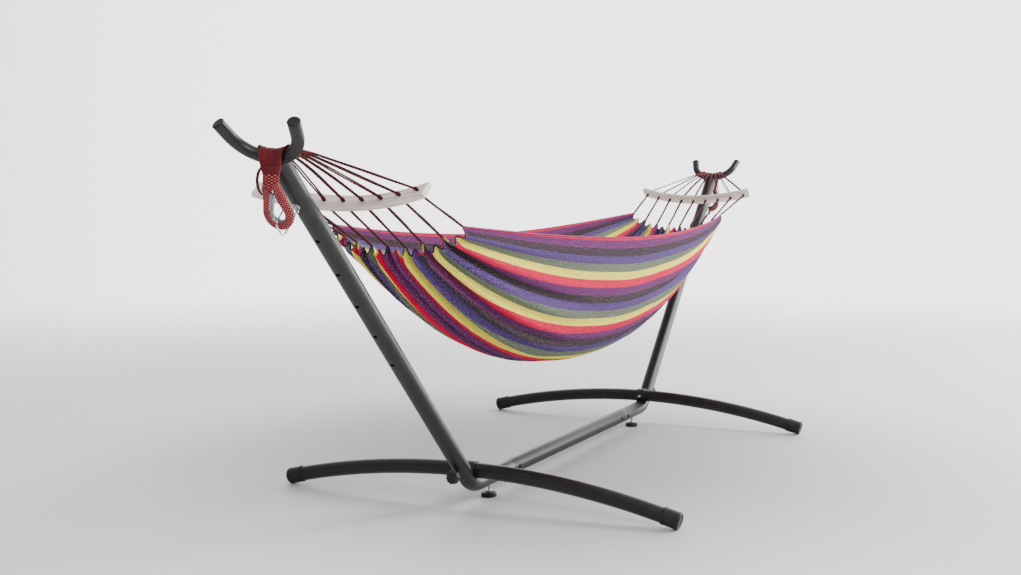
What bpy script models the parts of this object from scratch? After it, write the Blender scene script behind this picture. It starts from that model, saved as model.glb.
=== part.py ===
"""Hammock with two spreader bars on a tubular steel stand.

Frame: X runs along the hammock, Y across it, +Z up, floor at z = 0, metres.
End "a" is at -X and end "b" at +X.  Side "l" is +Y and side "r" is -Y.
"""

import math

import bmesh
import bpy
from mathutils import Matrix, Vector

# ---- stand ---------------------------------------------------------------
TUBE_R = 0.021
TUBE_WALL = 0.0018
BASE_Z = 0.051
BASE_HALF = 0.420
SPIGOT_R = 0.0187
SPIGOT_LEN = 0.050
CORNER_X = 0.640
BEND_R = 0.080
SADDLE_X = 1.443
SADDLE_Z = 0.836
HOLE_FIRST = 0.108
HOLE_PITCH = 0.100
HOLE_COUNT = 6
HOLE_R = 0.0048

# ---- fork at the head of each upright ------------------------------------
FORK_R = 0.0125
FORK_WALL = 0.0015
FORK_BEND = 0.078
FORK_TURN = math.radians(75.0)
FORK_ARM = 0.030

# ---- feet ----------------------------------------------------------------
FOOT_R = 0.019
FOOT_WALL = 0.0015
FOOT_X = 0.640
FOOT_MID_Z = 0.089
FOOT_HALF = 0.535
FOOT_END_Z = 0.0205
FOOT_JOINT = 0.006
COLLAR_R = 0.0225
COLLAR_HALF = 0.015
FOOT_CAP_R = 0.0215
FOOT_CAP_LEN = 0.045
PAD_X = 0.540
PAD_R = 0.020
PAD_H = 0.013

# ---- rope end: band over the saddle, eye, thimble, link ------------------
CORD_R = 0.0025
CORD_COUNT = 9
CORD_PITCH = 0.0130
CORD_START_X = 1.4045
CORD_TOP_Z = 0.8465
BAND_THICK = 0.0070
BAND_X = 1.4600
NECK_Z = 0.786
EYE_BOTTOM_N = 0.079
EYE_BOTTOM_T = -0.0985
ROPE_R = 0.0085
EYE_HALF = 0.0240
LINK_R = 0.0025
RING_R = 0.0095
LINK_NEAR = 0.0345
LINK_FAR = 0.0910
LINK_TOP = -0.0825
LINK_LOW = -0.1175
GATE_FROM = 0.0450
GATE_TO = 0.0780

# ---- spreader bars -------------------------------------------------------
BAR_X = 1.210
BAR_Z = 0.7505
BAR_HALF = 0.2035
BAR_BOW = 0.0366
BAR_WIDE = 0.038
BAR_THICK = 0.012
BAR_TILT = math.radians(50.0)
BAR_HOLE_PITCH = 0.046
BAR_HOLE_R = 0.0045

# ---- hammock bed ---------------------------------------------------------
BED_HALF = 1.040
BED_CORNER = 0.035
BED_THICK = 0.004
BED_COLS = 22
BED_ROWS = 18

ENDS = (("a", -1), ("b", 1))
SIDES = (("l", 1), ("r", -1))
SWING_AXIS = Vector((0.0, 0.0, CORD_TOP_Z))

LEAN = math.atan2(SADDLE_Z - BASE_Z, SADDLE_X - CORNER_X)
UP_OUT = math.cos(LEAN)
UP_Z = math.sin(LEAN)
FOOT_DROP = FOOT_MID_Z - FOOT_END_Z
FOOT_ARC = (FOOT_HALF ** 2 + FOOT_DROP ** 2) / (2.0 * FOOT_DROP)
FOOT_TURN = math.asin(FOOT_HALF / FOOT_ARC)
BAR_ARC = (BAR_HALF ** 2 + BAR_BOW ** 2) / (2.0 * BAR_BOW)


def clear_scene():
    for item in list(bpy.data.objects):
        bpy.data.objects.remove(item, do_unlink=True)


def material(name, colour, roughness, metallic):
    found = bpy.data.materials.get(name)
    if found:
        return found
    made = bpy.data.materials.new(name)
    made.use_nodes = True
    shader = made.node_tree.nodes["Principled BSDF"]
    shader.inputs["Base Color"].default_value = (*colour, 1.0)
    shader.inputs["Roughness"].default_value = roughness
    shader.inputs["Metallic"].default_value = metallic
    return made


def add_mesh(name, bm, look, origin=(0.0, 0.0, 0.0), smooth=math.radians(40.0)):
    """Put the world-space bmesh into an object whose origin is `origin`."""
    bmesh.ops.recalc_face_normals(bm, faces=bm.faces)
    bm.transform(Matrix.Translation(-Vector(origin)))
    mesh = bpy.data.meshes.new(name)
    bm.to_mesh(mesh)
    bm.free()
    for face in mesh.polygons:
        face.use_smooth = True
    mesh.set_sharp_from_angle(angle=smooth)
    mesh.materials.append(look)
    item = bpy.data.objects.new(name, mesh)
    item.location = origin
    bpy.context.scene.collection.objects.link(item)
    return item


def bridge(bm, low, high):
    count = len(low)
    for i in range(count):
        j = (i + 1) % count
        bm.faces.new((low[i], low[j], high[j], high[i]))


def ring(bm, centre, side, rise, radius, sides):
    verts = []
    for i in range(sides):
        turn = 2.0 * math.pi * i / sides
        spot = centre + side * (radius * math.cos(turn)) + rise * (radius * math.sin(turn))
        verts.append(bm.verts.new(spot))
    return verts


def path_frames(path, side):
    """Centre, side and rise vectors along a planar path with unit normal `side`."""
    frames = []
    last = len(path) - 1
    for i, spot in enumerate(path):
        along = (path[min(i + 1, last)] - path[max(i - 1, 0)]).normalized()
        frames.append((spot, side, along.cross(side).normalized()))
    return frames


def tube(path, side, outer, inner=None, sides=14):
    """Sweep a round section; `inner` makes it a hollow tube with open ends."""
    bm = bmesh.new()
    frames = path_frames(path, side)
    outers = [ring(bm, *frame, radius, sides) for frame, radius in zip(frames, outer)]
    for low, high in zip(outers, outers[1:]):
        bridge(bm, low, high)
    if inner is None:
        bm.faces.new(outers[0])
        bm.faces.new(outers[-1])
        return bm
    inners = [ring(bm, *frame, radius, sides) for frame, radius in zip(frames, inner)]
    for low, high in zip(inners, inners[1:]):
        bridge(bm, low, high)
    bridge(bm, outers[0], inners[0])
    bridge(bm, outers[-1], inners[-1])
    return bm


def lathe(profile, centre, axis, sides=16, lobes=0, lobe_depth=0.0):
    """Turn (radius, height) pairs about an axis; both ends are closed by flats."""
    bm = bmesh.new()
    axis = Vector(axis).normalized()
    side = axis.orthogonal().normalized()
    rise = axis.cross(side)
    rings = []
    for entry in profile:
        radius, height = entry[0], entry[1]
        lobed = len(entry) > 2
        spot = Vector(centre) + axis * height
        verts = []
        for i in range(sides):
            turn = 2.0 * math.pi * i / sides
            reach = radius
            if lobed:
                reach = radius - lobe_depth * (0.5 + 0.5 * math.cos(lobes * turn))
            place = spot + side * (reach * math.cos(turn)) + rise * (reach * math.sin(turn))
            verts.append(bm.verts.new(place))
        rings.append(verts)
    for low, high in zip(rings, rings[1:]):
        bridge(bm, low, high)
    bm.faces.new(rings[0])
    bm.faces.new(rings[-1])
    return bm


def rod(name, points, radius, look, origin=(0.0, 0.0, 0.0), cyclic=False, detail=2):
    """A round cord or wire along straight runs between `points`, ends filled."""
    shape = bpy.data.curves.new(name, "CURVE")
    shape.dimensions = "3D"
    shape.bevel_depth = radius
    shape.bevel_resolution = detail
    shape.use_fill_caps = True
    run = shape.splines.new("POLY")
    run.points.add(len(points) - 1)
    for spot, place in zip(run.points, points):
        spot.co = (*(Vector(place) - Vector(origin)), 1.0)
    run.use_cyclic_u = cyclic
    run.use_smooth = True
    shape.materials.append(look)
    item = bpy.data.objects.new(name, shape)
    item.location = origin
    bpy.context.scene.collection.objects.link(item)
    return item


def cut(item, name, bm):
    """Take the closed bmesh away from `item` with an exact Boolean."""
    tool = add_mesh(name, bm, STEEL)
    tool.hide_render = True
    tool.display_type = "WIRE"
    change = item.modifiers.new(name, "BOOLEAN")
    change.operation = "DIFFERENCE"
    change.solver = "EXACT"
    change.object = tool


def flat(s, out, z, y=0.0):
    """A point given by its distance from the middle along X, its height and its Y."""
    return Vector((s * out, y, z))


def head(s, n, t, y=0.0):
    """A point from the saddle: `n` off the outer face of the upright, `t` up along it."""
    out = SADDLE_X + n * UP_Z + t * UP_OUT
    return flat(s, out, SADDLE_Z - n * UP_OUT + t * UP_Z, y)


def face_out(s):
    return Vector((s * UP_Z, 0.0, -UP_OUT))


def arc(start, stop, steps):
    return [start + (stop - start) * i / steps for i in range(steps + 1)]


def rounded_path(corners, radius, steps, closed=False):
    """Replace the corners of a polyline by arcs of one radius."""
    count = len(corners)
    path = []
    for i, corner in enumerate(corners):
        ends = not closed and i in (0, count - 1)
        if ends:
            path.append(corner)
            continue
        to_back = (corners[i - 1] - corner).normalized()
        to_next = (corners[(i + 1) % count] - corner).normalized()
        half = 0.5 * to_back.angle(to_next)
        middle = corner + (to_back + to_next).normalized() * (radius / math.sin(half))
        first = corner + to_back * (radius / math.tan(half)) - middle
        second = corner + to_next * (radius / math.tan(half)) - middle
        pivot = first.cross(second).normalized()
        for turn in arc(0.0, first.angle(second), steps):
            path.append(middle + Matrix.Rotation(turn, 3, pivot) @ first)
    return path


# ---- upright and fork ----------------------------------------------------


def upright_path(s, start, top):
    corner = flat(s, CORNER_X, BASE_Z)
    run = rounded_path([flat(s, start, BASE_Z), corner, head(s, 0.0, top)], BEND_R, 5)
    return run


def fork_path(s, extra=0.0):
    turns = arc(-FORK_TURN, FORK_TURN, 10)
    path = []
    for turn in turns:
        y = FORK_BEND * math.sin(turn)
        t = FORK_BEND * (1.0 - math.cos(turn))
        path.append(head(s, 0.0, t, y))
    arm = FORK_ARM + extra
    y = FORK_BEND * math.sin(FORK_TURN) + arm * math.cos(FORK_TURN)
    t = FORK_BEND * (1.0 - math.cos(FORK_TURN)) + arm * math.sin(FORK_TURN)
    return [head(s, 0.0, t, -y)] + path + [head(s, 0.0, t, y)]


def build_upright(tag, s):
    path = upright_path(s, BASE_HALF + 0.0004, -0.004)
    solid = [TUBE_R] * len(path)
    bore = [TUBE_R - TUBE_WALL] * len(path)
    item = add_mesh(f"upright_{tag}", tube(path, Vector((0, 1, 0)), solid, bore), STEEL)
    cope = fork_path(s)
    side = face_out(s)
    cut(item, f"cut_cope_{tag}", tube(cope, side, [FORK_R + 0.0006] * len(cope)))
    for i in range(HOLE_COUNT):
        centre = head(s, 0.0, -HOLE_FIRST - HOLE_PITCH * i)
        drill = lathe([(HOLE_R, 0.010), (HOLE_R, 0.030)], centre, face_out(s), 10)
        cut(item, f"cut_hole_{tag}{i + 1}", drill)
    bolt = lathe([(0.0046, 0.0), (0.0046, 0.100)], flat(s, 0.630, FOOT_MID_Z), (s, 0, 0), 10)
    cut(item, f"cut_bolt_{tag}", bolt)
    stud = lathe([(0.0046, 0.0), (0.0046, 0.040)], flat(s, PAD_X, 0.005), (0, 0, 1), 10)
    cut(item, f"cut_stud_{tag}", stud)


def build_fork(tag, s):
    path = fork_path(s)
    outer = [FORK_R] * len(path)
    inner = [FORK_R - FORK_WALL] * len(path)
    add_mesh(f"fork_{tag}", tube(path, face_out(s), outer, inner), STEEL)
    for side, sign in SIDES:
        tip = path[-1] if sign > 0 else path[0]
        before = path[-2] if sign > 0 else path[1]
        plug = FORK_R - FORK_WALL - 0.0004
        profile = [
            (plug, -0.013),
            (plug, 0.0004),
            (FORK_R + 0.0003, 0.0004),
            (FORK_R + 0.0003, 0.0026),
            (FORK_R * 0.80, 0.0050),
        ]
        bm = lathe(profile, tip, tip - before, 16)
        add_mesh(f"fork_cap_{tag}_{side}", bm, BLACK_PLASTIC, tip)


# ---- base and feet -------------------------------------------------------


def build_base():
    reach = BASE_HALF
    spots = [-reach - SPIGOT_LEN, -reach - 0.0005, -reach, reach, reach + 0.0005, reach + SPIGOT_LEN]
    radii = [SPIGOT_R, SPIGOT_R, TUBE_R, TUBE_R, SPIGOT_R, SPIGOT_R]
    path = [Vector((x, 0.0, BASE_Z)) for x in spots]
    bore = [SPIGOT_R - TUBE_WALL] * len(path)
    add_mesh("base_tube", tube(path, Vector((0, 1, 0)), radii, bore), STEEL)


def foot_point(s, turn):
    y = FOOT_ARC * math.sin(turn)
    return flat(s, FOOT_X, FOOT_MID_Z - FOOT_ARC * (1.0 - math.cos(turn)), y)


def notch(s):
    path = upright_path(s, 0.55, -0.60)
    return tube(path, Vector((0, 1, 0)), [TUBE_R + 0.0005] * len(path))


def build_foot(tag, s):
    across = Vector((1, 0, 0))
    for side, sign in SIDES:
        first = sign * math.asin(FOOT_JOINT / FOOT_ARC)
        path = [foot_point(s, turn) for turn in arc(first, sign * FOOT_TURN, 7)]
        outer = [FOOT_R] * len(path)
        inner = [FOOT_R - FOOT_WALL] * len(path)
        item = add_mesh(f"foot_tube_{tag}_{side}", tube(path, across, outer, inner), FOOT_STEEL)
        cut(item, f"cut_foot_{tag}_{side}", notch(s))
        build_foot_cap(f"{tag}_{side}", path[-1], path[-1] - path[-2])
    build_collar(tag, s)


def build_foot_cap(tag, end, axis):
    bore = FOOT_R + 0.0008
    profile = [
        (bore, 0.0008),
        (bore, -FOOT_CAP_LEN + 0.005),
        (FOOT_CAP_R - 0.001, -FOOT_CAP_LEN + 0.005),
        (FOOT_CAP_R, -FOOT_CAP_LEN + 0.007),
        (FOOT_CAP_R, 0.0035),
        (FOOT_CAP_R - 0.0020, 0.0055),
    ]
    item = add_mesh(f"foot_cap_{tag}", lathe(profile, end, axis, 16), BLACK_PLASTIC, end)
    below = Matrix.Translation((end.x, end.y, -0.025)) @ Matrix.Diagonal((0.12, 0.20, 0.05, 1.0))
    bm = bmesh.new()
    bmesh.ops.create_cube(bm, size=1.0, matrix=below)
    cut(item, f"cut_floor_{tag}", bm)


def build_collar(tag, s):
    ends = [flat(s, FOOT_X, FOOT_MID_Z, y) for y in (-COLLAR_HALF, COLLAR_HALF)]
    bm = tube(ends, Vector((1, 0, 0)), [COLLAR_R] * 2, [FOOT_R + 0.0006] * 2, 16)
    item = add_mesh(f"foot_collar_{tag}", bm, STEEL)
    cut(item, f"cut_collar_{tag}", notch(s))
    bolt = lathe([(0.0046, 0.0), (0.0046, 0.110)], flat(s, 0.60, FOOT_MID_Z), (s, 0, 0), 10)
    cut(item, f"cut_collar_bolt_{tag}", bolt)


def build_knob(tag, s):
    hub = flat(s, 0.7185, FOOT_MID_Z)
    profile = [
        (0.0070, 0.0),
        (0.0070, 0.0095),
        (0.0150, 0.0095, 1),
        (0.0168, 0.0115, 1),
        (0.0168, 0.0245, 1),
        (0.0145, 0.0275, 1),
    ]
    bm = lathe(profile, hub, (s, 0, 0), 30, 10, 0.0022)
    item = add_mesh(f"knob_{tag}", bm, BLACK_PLASTIC, hub)
    socket = lathe([(0.0044, -0.001), (0.0044, 0.0150)], hub, (s, 0, 0), 12)
    cut(item, f"cut_knob_{tag}", socket)
    start = 0.6085 - 0.7185
    profile = [(0.0030, start), (0.0040, start + 0.001), (0.0040, 0.0140)]
    add_mesh(f"knob_bolt_{tag}", lathe(profile, hub, (s, 0, 0), 12), CHROME, hub)


def build_pad(tag, s):
    foot = flat(s, PAD_X, 0.0)
    profile = [
        (PAD_R - 0.0015, 0.0),
        (PAD_R, 0.0015),
        (PAD_R, 0.0085),
        (PAD_R - 0.0030, 0.0115),
        (0.0085, PAD_H),
    ]
    item = add_mesh(f"level_pad_{tag}", lathe(profile, foot, (0, 0, 1), 18), BLACK_PLASTIC, foot)
    socket = lathe([(0.0044, 0.0060), (0.0044, 0.0200)], foot, (0, 0, 1), 12)
    cut(item, f"cut_pad_{tag}", socket)
    profile = [
        (0.0040, 0.0064),
        (0.0040, PAD_H + 0.0006),
        (0.0075, PAD_H + 0.0006),
        (0.0075, PAD_H + 0.0046),
        (0.0040, PAD_H + 0.0046),
        (0.0040, 0.0440),
    ]
    add_mesh(f"level_stud_{tag}", lathe(profile, foot, (0, 0, 1), 12), CHROME, foot)


# ---- rope end ------------------------------------------------------------


def eye_axis():
    """Top and bottom middle of the eye as (out, z) pairs."""
    bottom = head(1, EYE_BOTTOM_N, EYE_BOTTOM_T)
    return (BAND_X, NECK_Z - 0.001), (bottom.x, bottom.z)


def eye_point(s, down, y):
    """A point in the leaning plane of the eye, `down` below its top."""
    top, bottom = eye_axis()
    step = Vector((bottom[0] - top[0], bottom[1] - top[1]))
    step.normalize()
    return flat(s, top[0] + step.x * down, top[1] + step.y * down, y)


def eye_length():
    top, bottom = eye_axis()
    return math.hypot(bottom[0] - top[0], bottom[1] - top[1])


def teardrop(s, half, close, top_half, top_down):
    """Points of a drop shape: straight legs from the neck into a round bottom."""
    centre = eye_length() - half - close
    points = []
    legs = math.atan2(half - top_half, centre - top_down)
    for turn in arc(-legs, math.pi + legs, 12):
        y = half * math.cos(turn)
        down = centre + half * math.sin(turn)
        points.append(eye_point(s, down, y))
    return [eye_point(s, top_down, top_half)] + points + [eye_point(s, top_down, -top_half)]


def build_band(tag, s):
    """Cords fanned over the saddle, gathered in front of it and bound above the eye.

    Each station is (distance out, height, direction of the top face in degrees,
    how far it follows the curve of the fork, half width, thickness).
    """
    bend = FORK_R + 0.0008 + 0.5 * BAND_THICK
    top = SADDLE_Z + bend
    stations = [
        (CORD_START_X + 0.0026, CORD_TOP_Z - 0.0002, 105.0, 0.0, 0.0560, BAND_THICK),
        (SADDLE_X - 0.0185, top - 0.0006, 98.0, 0.45, 0.0545, BAND_THICK),
    ]
    for step, half in enumerate((0.0520, 0.0450, 0.0370, 0.0305, 0.0268, 0.0252, 0.0248)):
        turn = 90.0 - 15.0 * step
        angle = math.radians(turn)
        out = SADDLE_X + bend * math.cos(angle)
        stations.append((out, SADDLE_Z + bend * math.sin(angle), turn, 1.0, half, BAND_THICK))
    stations += [
        (BAND_X, 0.822, 0.0, 0.8, 0.0235, BAND_THICK),
        (BAND_X, 0.812, 0.0, 0.2, 0.0185, 0.0120),
        (BAND_X, NECK_Z, 0.0, 0.0, 0.0170, 0.0150),
    ]
    bm = bmesh.new()
    rings = []
    for out, z, turn, follow, wide, thick in stations:
        angle = math.radians(turn)
        verts = []
        for upper, parts in ((1.0, arc(-1.0, 1.0, 10)), (-1.0, arc(1.0, -1.0, 10))):
            for part in parts:
                y = wide * part
                edge = 1.0 - 0.35 * abs(part) ** 6
                lift = 0.5 * thick * edge * upper + 0.0022 * follow * (y / 0.052) ** 2
                ride = follow * (FORK_BEND - math.sqrt(FORK_BEND ** 2 - y * y))
                spot_out = out + lift * math.cos(angle) + ride * UP_OUT
                spot_z = z + lift * math.sin(angle) + ride * UP_Z
                verts.append(bm.verts.new(flat(s, spot_out, spot_z, y)))
        rings.append(verts)
    for low, high in zip(rings, rings[1:]):
        bridge(bm, low, high)
    bm.faces.new(rings[0])
    bm.faces.new(rings[-1])
    add_mesh(f"rope_band_{tag}", bm, ROPE_RED)


def build_eye(tag, s):
    points = teardrop(s, EYE_HALF, 0.0, 0.0086, 0.0062)
    rod(f"rope_eye_{tag}", points, ROPE_R, ROPE_RED, detail=3)
    inside = teardrop(s, EYE_HALF - ROPE_R - 0.0018, ROPE_R + 0.0018, 0.0022, 0.0250)
    rod(f"thimble_{tag}", inside, 0.0013, GALVANISED, detail=2)


def build_eye_bolt(tag, s):
    t = -HOLE_FIRST
    centre = TUBE_R + 0.0045 + RING_R
    points = [head(s, 0.012, t), head(s, centre - RING_R - 0.0015, t)]
    for turn in arc(200.0, 520.0, 11):
        angle = math.radians(turn)
        y = RING_R * math.sin(angle)
        points.append(head(s, centre + RING_R * math.cos(angle), t, y))
    rod(f"eye_bolt_{tag}", points, 0.0020, CHROME)


def build_link(tag, s):
    """Chrome snap link joining the rope eye to the eye bolt, with its sprung gate."""
    corners = [
        head(s, GATE_TO + 0.0032, LINK_TOP),
        head(s, LINK_FAR, LINK_TOP),
        head(s, LINK_FAR, LINK_LOW),
        head(s, LINK_NEAR, LINK_LOW),
        head(s, LINK_NEAR, LINK_TOP),
        head(s, GATE_FROM - 0.0008, LINK_TOP),
    ]
    path = rounded_path(corners, 0.0088, 3)
    rod(f"snap_link_{tag}", path, LINK_R, CHROME)
    pivot = head(s, GATE_TO, LINK_TOP)
    ends = [pivot, head(s, GATE_FROM + 0.0005, LINK_TOP)]
    rod(f"snap_gate_{tag}", ends, 0.0021, CHROME, pivot)


# ---- spreader bar and cords ----------------------------------------------

def bar_frame(s, y):
    """Middle point, outward-up normal and width direction of the bar at `y`."""
    turn = math.asin(y / BAR_ARC)
    lift = BAR_ARC * (1.0 - math.cos(turn))
    up = Vector((s * math.cos(BAR_TILT), 0.0, math.sin(BAR_TILT)))
    wide = Vector((-s * math.sin(BAR_TILT), 0.0, math.cos(BAR_TILT)))
    spot = Vector((s * BAR_X, y, BAR_Z)) + up * lift
    normal = up * math.cos(turn) - Vector((0.0, 1.0, 0.0)) * math.sin(turn)
    return spot, normal, wide


def build_bar(tag, s):
    bm = bmesh.new()
    rings = []
    half = 0.5 * BAR_THICK
    edge = 0.0022
    outline = [
        (-0.5 * BAR_WIDE, -half + edge),
        (-0.5 * BAR_WIDE + edge, -half),
        (0.5 * BAR_WIDE - edge, -half),
        (0.5 * BAR_WIDE, -half + edge),
        (0.5 * BAR_WIDE, half - edge),
        (0.5 * BAR_WIDE - edge, half),
        (-0.5 * BAR_WIDE + edge, half),
        (-0.5 * BAR_WIDE, half - edge),
    ]
    for y in arc(-BAR_HALF, BAR_HALF, 12):
        spot, normal, wide = bar_frame(s, y)
        rings.append([bm.verts.new(spot + wide * a + normal * b) for a, b in outline])
    for low, high in zip(rings, rings[1:]):
        bridge(bm, low, high)
    bm.faces.new(rings[0])
    bm.faces.new(rings[-1])
    item = add_mesh(f"spreader_bar_{tag}", bm, WOOD)
    for i in range(CORD_COUNT):
        spot, normal, _ = bar_frame(s, BAR_HOLE_PITCH * (i - 4))
        drill = lathe([(BAR_HOLE_R, -0.012), (BAR_HOLE_R, 0.012)], spot, normal, 10)
        cut(item, f"cut_bar_{tag}{i + 1}", drill)


def bed_point(across, along):
    """Middle surface of the bed; `across` and `along` both run from -1 to 1."""
    reach = abs(along)
    half = 0.165 + 0.071 * (1.0 - reach ** 2.5)
    rim = 0.652 + 0.049 * reach ** 1.8
    low = 0.300 + 0.356 * reach ** 2.25
    share = math.sin(1.35 * across) / math.sin(1.35)
    x = along * (BED_HALF - BED_CORNER * share * share)
    return Vector((x, half * share, low + (rim - low) * abs(share) ** 2.6))


def build_bed():
    bm = bmesh.new()
    step = 1e-4
    grid = {}
    for i in range(BED_COLS + 1):
        for j in range(BED_ROWS + 1):
            along = math.sin(math.pi * (i / BED_COLS - 0.5) * 0.86) / math.sin(0.43 * math.pi)
            across = -1.0 + 2.0 * j / BED_ROWS
            spot = bed_point(across, along)
            run = bed_point(across, along + step) - bed_point(across, along - step)
            turn = bed_point(across + step, along) - bed_point(across - step, along)
            normal = run.cross(turn).normalized()
            for level in (0, 1):
                shift = normal * (BED_THICK * (level - 0.5))
                grid[level, i, j] = bm.verts.new(spot + shift)
    for i in range(BED_COLS):
        for j in range(BED_ROWS):
            for level in (0, 1):
                corners = ((i, j), (i + 1, j), (i + 1, j + 1), (i, j + 1))
                bm.faces.new([grid[level, a, b] for a, b in corners])
    rim = [(i, 0) for i in range(BED_COLS)]
    rim += [(BED_COLS, j) for j in range(BED_ROWS)]
    rim += [(i, BED_ROWS) for i in range(BED_COLS, 0, -1)]
    rim += [(0, j) for j in range(BED_ROWS, 0, -1)]
    bridge(bm, [grid[0, i, j] for i, j in rim], [grid[1, i, j] for i, j in rim])
    add_mesh("hammock_bed", bm, FABRIC, SWING_AXIS)


def cord_route(s, index):
    step = index - 4
    start = flat(s, CORD_START_X, CORD_TOP_Z, step * CORD_PITCH)
    spot, normal, _ = bar_frame(s, BAR_HOLE_PITCH * step)
    share = step / 4.0
    across = math.asin(share * math.sin(1.35)) / 1.35
    edge = bed_point(across, s)
    inward = bed_point(across, s * 0.98)
    outward = (edge - inward).normalized()
    over = spot + normal * (0.5 * BAR_THICK + 0.0032)
    under = spot - normal * (0.5 * BAR_THICK + 0.0032)
    return [start, over, under, edge + outward * 0.0016]


def build_cords():
    for tag, s in ENDS:
        for index in range(CORD_COUNT):
            rod(f"cord_{tag}{index + 1}", cord_route(s, index), CORD_R, CORD, SWING_AXIS)


clear_scene()

STEEL = material("charcoal_steel", (0.035, 0.036, 0.038), 0.38, 0.75)
FOOT_STEEL = material("foot_steel", (0.022, 0.022, 0.028), 0.45, 0.70)
BLACK_PLASTIC = material("black_plastic", (0.014, 0.014, 0.015), 0.50, 0.0)
CHROME = material("chrome", (0.70, 0.71, 0.72), 0.15, 1.0)
GALVANISED = material("galvanised", (0.40, 0.40, 0.41), 0.40, 0.9)
ROPE_RED = material("rope_red", (0.24, 0.018, 0.028), 0.85, 0.0)
CORD = material("cord_maroon", (0.075, 0.010, 0.014), 0.80, 0.0)
WOOD = material("pale_wood", (0.68, 0.58, 0.52), 0.60, 0.0)
FABRIC = material("striped_fabric", (0.26, 0.07, 0.16), 0.90, 0.0)

build_base()
for end_tag, end_sign in ENDS:
    build_upright(end_tag, end_sign)
    build_fork(end_tag, end_sign)
    build_foot(end_tag, end_sign)
    build_knob(end_tag, end_sign)
    build_pad(end_tag, end_sign)
    build_band(end_tag, end_sign)
    build_eye(end_tag, end_sign)
    build_eye_bolt(end_tag, end_sign)
    build_link(end_tag, end_sign)
    build_bar(end_tag, end_sign)
build_bed()
build_cords()
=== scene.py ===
"""Hammock with two spreader bars on a tubular steel stand: the visual model.

Metres, in the CAD model's frame: X along the hammock, Y across it, +Z up.
End "a" is at -X and end "b" at +X.  Side "l" is +Y and side "r" is -Y.
"""

from itertools import accumulate
from math import asin, atan2, copysign, cos, dist, exp, pi, radians, sin, sqrt, tan, tau

import bmesh
import bpy
import numpy as np
from mathutils import Matrix, Vector, noise


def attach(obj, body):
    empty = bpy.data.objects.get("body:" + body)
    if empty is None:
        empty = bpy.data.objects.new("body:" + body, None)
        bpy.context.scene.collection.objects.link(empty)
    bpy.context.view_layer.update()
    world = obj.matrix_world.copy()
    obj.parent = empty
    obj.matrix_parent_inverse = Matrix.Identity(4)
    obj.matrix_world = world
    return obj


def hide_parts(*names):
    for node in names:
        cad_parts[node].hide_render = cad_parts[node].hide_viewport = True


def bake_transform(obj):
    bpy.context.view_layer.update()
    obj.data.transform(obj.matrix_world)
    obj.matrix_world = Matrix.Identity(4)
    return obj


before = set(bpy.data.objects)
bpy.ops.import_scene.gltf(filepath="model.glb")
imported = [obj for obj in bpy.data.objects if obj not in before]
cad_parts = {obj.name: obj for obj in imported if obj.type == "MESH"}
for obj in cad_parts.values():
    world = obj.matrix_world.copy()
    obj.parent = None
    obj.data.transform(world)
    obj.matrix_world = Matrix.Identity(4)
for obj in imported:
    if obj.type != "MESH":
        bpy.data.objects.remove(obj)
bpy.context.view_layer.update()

ENDS = (("a", -1), ("b", 1))
SIDES = (("l", 1), ("r", -1))

# ---- the CAD model's driving sizes ---------------------------------------
TUBE_R = 0.021
BASE_Z = 0.051
BASE_HALF = 0.42
CORNER_X = 0.64
BEND_R = 0.08
SADDLE_X = 1.443
SADDLE_Z = 0.836
HOLE_FIRST = 0.108
HOLE_PITCH = 0.1
HOLE_COUNT = 6
HOLE_R = 0.0048
FORK_R = 0.0125
FORK_BEND = 0.078
FORK_TURN = radians(75.0)
FORK_ARM = 0.03
FOOT_R = 0.019
FOOT_X = 0.64
FOOT_MID_Z = 0.089
FOOT_HALF = 0.535
FOOT_END_Z = 0.0205
COLLAR_R = 0.0225
COLLAR_HALF = 0.015
FOOT_CAP_R = 0.0215
FOOT_CAP_LEN = 0.045
KNOB_X = 0.7185
PAD_X = 0.54
PAD_R = 0.02
PAD_H = 0.013
CORD_COUNT = 9
CORD_PITCH = 0.013
CORD_START_X = 1.4045
CORD_TOP_Z = 0.8465
BAND_THICK = 0.007
NECK_X = 1.46
NECK_Z = 0.786
EYE_BOTTOM_N = 0.079
EYE_BOTTOM_T = -0.0985
ROPE_R = 0.0085
EYE_HALF = 0.024
LINK_R = 0.0025
RING_R = 0.0095
LINK_NEAR = 0.0345
LINK_FAR = 0.091
LINK_TOP = -0.0825
LINK_LOW = -0.1175
GATE_FROM = 0.045
GATE_TO = 0.078
BAR_X = 1.21
BAR_Z = 0.7505
BAR_HALF = 0.2035
BAR_BOW = 0.0366
BAR_WIDE = 0.038
BAR_THICK = 0.012
BAR_TILT = radians(50.0)
BAR_HOLE_PITCH = 0.046
BED_HALF = 1.04
BED_CORNER = 0.035

# ---- soft goods ----------------------------------------------------------
STRAND_R = 0.0019
STRAND_GAP = 0.0019
PAIR_GAPS = (0.0019, 0.003, 0.0033, 0.0019, 0.0019, 0.0031, 0.0019, 0.0029, 0.0019)
PAIR_BOWS = (0.0, 0.0005, 0.0015, 0.0045, 0.0055, 0.004, 0.003, 0.001, 0.0)
SHEET_WIDE = 0.9
SHEET_THICK = 0.0016
HEM_R = 0.0021
PLEAT_DIP = 0.016
BED_TURN = 1.35
BAR_CLEAR = 0.0032

LEAN = atan2(SADDLE_Z - BASE_Z, SADDLE_X - CORNER_X)
UP_OUT = cos(LEAN)
UP_Z = sin(LEAN)
BAR_ARC = (BAR_HALF**2 + BAR_BOW**2) / (2.0 * BAR_BOW)
FOOT_DROP = FOOT_MID_Z - FOOT_END_Z
FOOT_ARC = (FOOT_HALF**2 + FOOT_DROP**2) / (2.0 * FOOT_DROP)
FOOT_TURN = asin(FOOT_HALF / FOOT_ARC)

# Edges turned by more than this many degrees stay sharp.
STEEL_EDGE = 50.0
PLASTIC_EDGE = 40.0

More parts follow.
